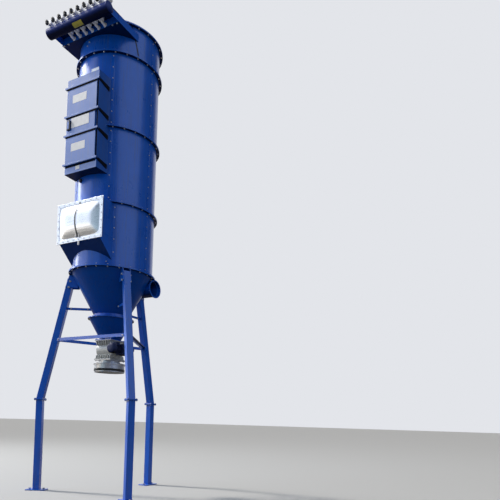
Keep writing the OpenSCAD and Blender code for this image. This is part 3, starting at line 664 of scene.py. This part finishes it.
# rolled finish: fine lines along X, 1.5 mm apart, drawn coarse so that they show
lines = add(tree, "Mapping", {"Scale": (4.0, 60.0, 650.0)}, {"Vector": where})
rolling = add(tree, "TexNoise", {"Scale": 1.0, "Detail": 2.0}, {"Vector": lines.outputs[0]})
clouds = add(tree, "TexNoise", {"Scale": 6.0, "Detail": 3.0}, {"Vector": where})
tone = add(tree, "Mix", {6: linear("#C2C7CD"), 7: linear("#DDE0E4")}, {0: clouds.outputs["Fac"]},
           data_type='RGBA')
tree.links.new(tone.outputs[2], base.inputs["Base Color"])
dull = add(tree, "MapRange", {"To Min": 0.22, "To Max": 0.36}, {"Value": rolling.outputs["Fac"]})
tree.links.new(dull.outputs[0], base.inputs["Roughness"])
base.inputs["Metallic"].default_value = 0.68
dress("relief_frame", panel_silver, "panel_silver", 0.002)

# the panel: one sheet pressed out in soft steps towards its middle, its four corners kept sharp
panel_wide, panel_high, panel_y, panel_z = 0.820, 0.514, -0.745, 4.100
ease()
bpy.ops.mesh.primitive_plane_add(size=1, location=(0, panel_y, panel_z), rotation=(math.radians(90), 0, 0))
panel = bpy.context.object
panel.name = "relief_panel_made"
panel.scale = (panel_wide, panel_high, 1)
bpy.ops.object.transform_apply()
bpy.ops.object.mode_set(mode='EDIT')
bpy.ops.mesh.select_all(action='SELECT')
for wide, deep in ((0.014, 0), (0.022, 0.007), (0.034, 0.011), (0.036, 0.009), (0.036, 0.007), (0.036, 0.004),
                   (0.036, 0.002)):
    bpy.ops.mesh.inset(thickness=wide, depth=deep)
bpy.ops.mesh.select_all(action='SELECT')
bpy.ops.mesh.subdivide(number_cuts=3)
pick(panel, "corners", lambda corner: (abs(corner.co.x) > panel_wide/2 - 0.0005
                                       and abs(corner.co.z - panel_z) > panel_high/2 - 0.0005))
bpy.ops.transform.vert_crease(value=1.0)
bpy.ops.object.mode_set(mode='OBJECT')
soft = panel.modifiers.new("soft", 'SUBSURF')
soft.levels = soft.render_levels = 2
bpy.ops.object.modifier_apply(modifier="soft")
sheet = panel.modifiers.new("sheet", 'SOLIDIFY')
sheet.thickness, sheet.offset = 0.001, -1
bpy.ops.object.modifier_apply(modifier="sheet")
bpy.ops.object.shade_smooth_by_angle(angle=math.radians(35))
fitted(panel, panel_silver, "panel_silver", "relief_panel")
stud_x, stud_y, stud_low, stud_high = 0.433, -0.749, 3.819, 4.381
studs = []
for i in range(9):
    for z in (stud_low, stud_high):
        studs.append(((-stud_x + 2*stud_x*i/8, stud_y, z), forward))
for k in range(1, 5):
    for x in (-stud_x, stud_x):
        studs.append(((x, stud_y, stud_low + (stud_high - stud_low)*k/5), forward))
fitted(spread(hex_bolt(0.013, 0.006, 0.002), "frame_bolts", studs), zinc, "zinc_steel")


def band(name, rail, across, width, thick):
    """A flat strip laid along a line of points, its width running one way."""
    ease()
    half = Vector(across)*width/2
    first, second = Vector(rail[0]), Vector(rail[1])
    bpy.ops.mesh.primitive_plane_add(size=1, location=(0, 0, 0))
    strip = bpy.context.object
    strip.name = name
    corners = (first - half, first + half, second - half, second + half)
    for corner, place in zip(strip.data.vertices, corners):
        corner.co = place
    bpy.ops.object.mode_set(mode='EDIT')
    bpy.ops.mesh.select_all(action='DESELECT')
    cage = bmesh.from_edit_mesh(strip.data)
    cage.verts.ensure_lookup_table()
    for corner in cage.verts[2:4]:
        corner.select_set(True)
    cage.select_flush(True)
    bmesh.update_edit_mesh(strip.data)
    for here, onward in zip(rail[1:], rail[2:]):
        bpy.ops.mesh.extrude_edges_move(TRANSFORM_OT_translate={"value": Vector(onward) - Vector(here)})
    bpy.ops.mesh.select_all(action='SELECT')
    bpy.ops.mesh.normals_make_consistent(inside=False)
    bpy.ops.object.mode_set(mode='OBJECT')
    skin = strip.modifiers.new("skin", 'SOLIDIFY')
    skin.thickness, skin.offset = thick, 0
    bpy.ops.object.modifier_apply(modifier="skin")
    bpy.ops.object.shade_smooth_by_angle(angle=math.radians(35))
    return strip


def block(name, x0, x1, y0, y1, z0, z1, round_off):
    """A small box piece with rounded edges."""
    ease()
    bpy.ops.mesh.primitive_cube_add(size=1, location=((x0 + x1)/2, (y0 + y1)/2, (z0 + z1)/2),
                                    scale=(x1 - x0, y1 - y0, z1 - z0))
    box = bpy.context.object
    box.name = name
    bpy.ops.object.transform_apply()
    bpy.ops.object.mode_set(mode='EDIT')
    bpy.ops.mesh.select_all(action='SELECT')
    bpy.ops.mesh.bevel(offset=round_off, segments=3, affect='EDGES')
    bpy.ops.object.mode_set(mode='OBJECT')
    bpy.ops.object.shade_smooth_by_angle(angle=math.radians(35))
    return evened(box)


black_plastic, tree, base = new_finish("black_moulded_nylon")
base.inputs["Roughness"].default_value = 0.5
where = add(tree, "TexCoord").outputs["Object"]
# moulded grain, 1 mm, drawn at 2 mm so that it shows
grain = add(tree, "TexNoise", {"Scale": 500.0, "Detail": 2.0}, {"Vector": where})
tone = add(tree, "Mix", {6: linear("#121214"), 7: linear("#232326")}, {0: grain.outputs["Fac"]},
           data_type='RGBA')
tree.links.new(tone.outputs[2], base.inputs["Base Color"])
bump = add(tree, "Bump", {"Strength": 0.3, "Distance": 0.0006}, {"Height": grain.outputs["Fac"]})
tree.links.new(bump.outputs[0], base.inputs["Normal"])
strip_line = [(0.004, -0.7515, 4.374), (0.000, -0.7525, 4.350), (-0.022, -0.770, 4.300),
              (-0.046, -0.783, 4.235), (-0.056, -0.788, 4.150), (-0.054, -0.789, 4.064),
              (-0.042, -0.784, 3.985), (-0.025, -0.768, 3.905), (-0.018, -0.7525, 3.860)]
fitted(band("signal_strip", strip_line, (1, 0, 0), 0.019, 0.002), black_plastic, "black_plastic")

white_plate, tree, base = new_finish("white_printed_plate")
where = add(tree, "TexCoord").outputs["Object"]
# a bare plate, faded in soft patches 60 mm across
fading = add(tree, "TexNoise", {"Scale": 16.0, "Detail": 3.0}, {"Vector": where})
tone = add(tree, "Mix", {6: linear("#DCD9D6"), 7: linear("#F2F1EF")}, {0: fading.outputs["Fac"]},
           data_type='RGBA')
tree.links.new(tone.outputs[2], base.inputs["Base Color"])
base.inputs["Roughness"].default_value = 0.4
for name, *sides in (("strip_clip_left", -0.058, -0.042, -0.764, -0.750, 3.852, 3.900, 0.003),
                     ("strip_clip_right", 0.002, 0.018, -0.764, -0.750, 3.846, 3.894, 0.003),
                     ("strip_plug", -0.021, 0.009, -0.749, -0.735, 3.737, 3.797, 0.004)):
    fitted(block(name, *sides), white_plate, "white_plate")


# Door box: folded sheet box welded to the wall round the two openings.
# Two folded door pans and a fixed panel between them are pressed on by four
# clamp bars with a tapered arm at their right end. Black strips under the
# bars and beside the doors are painted shadow; the arms are black as painted shade.
door_paint = gloss_paint("polished_blue_door_paint", "#0E5ABA", 0.26, 1.0)
for node in ("door_box", "upper_door", "lower_door", "middle_panel"):
    dress(node, door_paint, "blue_paint", 0.003)
dress("clamp_bars", door_paint, "blue_paint", 0.002)
shade_black, tree, base = new_finish("matt_black_painted_shade")
where = add(tree, "TexCoord").outputs["Object"]
# near-black for painted shade and painted shadow, with a chalky bloom in patches of 40 mm, hardly any shine
bloom = add(tree, "TexNoise", {"Scale": 25.0, "Detail": 3.0}, {"Vector": where})
tone = add(tree, "Mix", {6: linear("#0A0C14"), 7: linear("#151923")}, {0: bloom.outputs["Fac"]},
           data_type='RGBA')
tree.links.new(tone.outputs[2], base.inputs["Base Color"])
base.inputs["Roughness"].default_value = 0.9
base.inputs["Specular IOR Level"].default_value = 0.1
# under each clamp bar a black strip on the face behind it, a painted shadow, and at the bar's right end its
# arm, black as painted shade
door_face, fascia_face = -0.795, -0.775
for name, y, z in (("top", door_face, 6.162), ("upper", door_face, 5.717), ("lower", door_face, 5.422),
                   ("bottom", fascia_face, 4.977)):
    bar_shadow = block(f"{name}_bar_painted_shadow", -0.300, 0.300, y - 0.004, y + 0.001, z - 0.040, z - 0.015, 0.001)
    fitted(bar_shadow, shade_black, "black_plastic")
    arm = block(f"{name}_clamp_arm", 0.3195, 0.332, -0.780, -0.565, z - 0.020, z + 0.018, 0.002)
    bpy.ops.object.mode_set(mode='EDIT')
    pick(arm, "corners", lambda corner: corner.co.y > -0.60)
    bpy.ops.transform.resize(value=(1, 1, 1.7), center_override=(0, 0, z + 0.018))
    bpy.ops.transform.translate(value=(0, 0, -0.030))
    bpy.ops.object.mode_set(mode='OBJECT')
    fitted(arm, shade_black, "black_plastic")
# a black strip between the doors and the box's right side, a painted shadow
fitted(block("door_side_painted_shadow", 0.299, 0.3195, -0.778, -0.774, 4.995, 6.140, 0.001), shade_black, "black_plastic")


# Lock, plates and small fittings of the doors: a moulded lock with a
# painted handle, bare printed plates, a bent zinc lug on the box's top and
# a black plug in the wall under it.
def label(name, x0, x1, z0, z1, y):
    """A bare plate with rounded corners, 0.8 mm thick, facing the doors' side."""
    ease()
    bpy.ops.mesh.primitive_cube_add(size=1, location=((x0 + x1)/2, y - 0.0004, (z0 + z1)/2),
                                    scale=(x1 - x0, 0.0008, z1 - z0))
    plate = bpy.context.object
    plate.name = name
    bpy.ops.object.transform_apply()
    bpy.ops.object.mode_set(mode='EDIT')
    pick(plate, "edges", lambda edge: abs(edge.verts[0].co.y - edge.verts[1].co.y) > 0.0005)
    bpy.ops.mesh.bevel(offset=0.004, segments=4, affect='EDGES')
    bpy.ops.object.mode_set(mode='OBJECT')
    return plate


dress("door_lock", black_plastic, "black_plastic", 0.006, 3)
fitted(block("lock_handle", -0.262, -0.222, -0.8185, -0.815, 5.512, 5.630, 0.001), door_paint, "blue_paint")
dress("data_plate", white_plate, "white_plate", 0.0005)
fitted(label("upper_door_label", -0.182, 0.098, 5.902, 6.023, door_face), white_plate, "white_plate")
fitted(label("lower_door_label", -0.182, 0.098, 5.163, 5.282, door_face), white_plate, "white_plate")
fitted(label("fascia_label", -0.094, -0.013, 4.880, 4.974, fascia_face), white_plate, "white_plate")
fitted(block("box_lug", 0.150, 0.296, -0.766, -0.760, 6.299, 6.352, 0.002), zinc, "zinc_steel")
fitted(block("box_lug_foot", 0.150, 0.296, -0.766, -0.722, 6.299, 6.305, 0.002), zinc, "zinc_steel")
wall_face = 0.626
plug = [round_at(-12.6, wall_face, 4.790)]
fitted(spread(hex_bolt(0.044, 0.026, 0.004), "drain_plug", plug), black_plastic, "black_plastic")


# Outlet: short round duct with a rolled rim on the back of the clean-air
# section, welded and painted.
dress("outlet_spigot", blue_paint, "blue_paint", 0.001)


# Flat box: three folded sheets in front of the clean-air section, through
# which the blow pipes enter. A black strip runs slanting down the wall on
# its right.
dress("header_box", blue_paint, "blue_paint", 0.002)
dress("header_brackets", blue_paint, "blue_paint", 0.002)
slant_points = []
for azimuth, z in ((56.4, 7.188), (59.2, 7.10), (62.0, 7.01), (65.6, 6.86), (68.6, 6.735)):
    slant_points.append(round_at(azimuth, 0.6275, z)[0])
slant_strip = band("box_slant_strip", slant_points, (0.45, 0.85, 0.28), 0.018, 0.003)
fitted(slant_strip, black_plastic, "black_plastic")
fixings = [round_at(-5.6, wall_face, 6.936), round_at(-9.8, wall_face, 6.890)]
for x in (-0.535, -0.446, 0.446, 0.535):
    fixings.append(((x, -0.680, 6.990), down))
fitted(spread(hex_bolt(0.018, 0.009, 0.003), "box_bolts", fixings), zinc, "zinc_steel")


# Air header: a painted steel tube with dished ends, ten diaphragm valves
# with their coils, and six bent blow pipes in ribbed sleeves. A yellow
# label is stuck round the tube's front.
# a darker, duller blue than the body's paint, partly the tube's own paint and partly painted shade from the
# valves above
tank_paint = gloss_paint("dark_blue_vessel_paint", "#0B2F86", 0.5, 0.0)
dress("header_tank", tank_paint, "blue_paint", 0.001)
dress("header_ends", tank_paint, "blue_paint", 0.0)
valve_silver, tree, base = new_finish("die_cast_aluminium")
where = add(tree, "TexCoord").outputs["Object"]
# blasted casting skin, 2 mm grains, so pale and dull that it hardly mirrors
grain = add(tree, "TexNoise", {"Scale": 400.0, "Detail": 2.0}, {"Vector": where})
tone = add(tree, "Mix", {6: linear("#DCDDE0"), 7: linear("#F4F5F7")}, {0: grain.outputs["Fac"]},
           data_type='RGBA')
tree.links.new(tone.outputs[2], base.inputs["Base Color"])
bump = add(tree, "Bump", {"Strength": 0.3, "Distance": 0.0006}, {"Height": grain.outputs["Fac"]})
tree.links.new(bump.outputs[0], base.inputs["Normal"])
base.inputs["Metallic"].default_value = 0.05
base.inputs["Roughness"].default_value = 0.38
dress("diaphragm_valves", valve_silver, "valve_silver", 0.0015)
dress("solenoid_coils", black_plastic, "black_plastic", 0.003, 3)
dress("blow_pipes", valve_silver, "valve_silver", 0.001)
pipe_pitch, pipe_y, shelf_top = 0.124, -0.775, 7.046
sleeve = revolve("sleeve", [(0.0215, 0), (0.040, 0), (0.044, 0.004), (0.044, 0.016), (0.040, 0.019),
                            (0.040, 0.031), (0.044, 0.034), (0.044, 0.048), (0.040, 0.052), (0.0215, 0.052),
                            (0.0215, 0)], 40)
drops = [((pipe_pitch*(i - 2.5), pipe_y, shelf_top), up) for i in range(6)]
fitted(spread(sleeve, "pipe_sleeves", drops), valve_silver, "valve_silver")

sign_yellow, tree, base = new_finish("yellow_vinyl_label")
where = add(tree, "TexCoord").outputs["Object"]
# sun-bleached vinyl, in patches 50 mm across
bleach = add(tree, "TexNoise", {"Scale": 20.0, "Detail": 3.0}, {"Vector": where})
tone = add(tree, "Mix", {6: linear("#8E8420"), 7: linear("#B9AE3A")}, {0: bleach.outputs["Fac"]},
           data_type='RGBA')
tree.links.new(tone.outputs[2], base.inputs["Base Color"])
base.inputs["Roughness"].default_value = 0.45
tank_y, tank_z, tank_skin = -0.913, 7.030, 0.0766
around = []
for i in range(9):
    a = math.radians(-40 - 7*i)
    around.append((0.016, tank_y - tank_skin*math.cos(a), tank_z + tank_skin*math.sin(a)))
fitted(band("tank_label", around, (1, 0, 0), 0.180, 0.0008), sign_yellow, "white_plate")


# Roof: a low cone of painted sheet with a flat rim, bolted to the top
# ring.
dress("roof_lid", blue_paint, "blue_paint", 0.0015)


# The visual model's box, over every shown piece but the floor.
low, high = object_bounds()
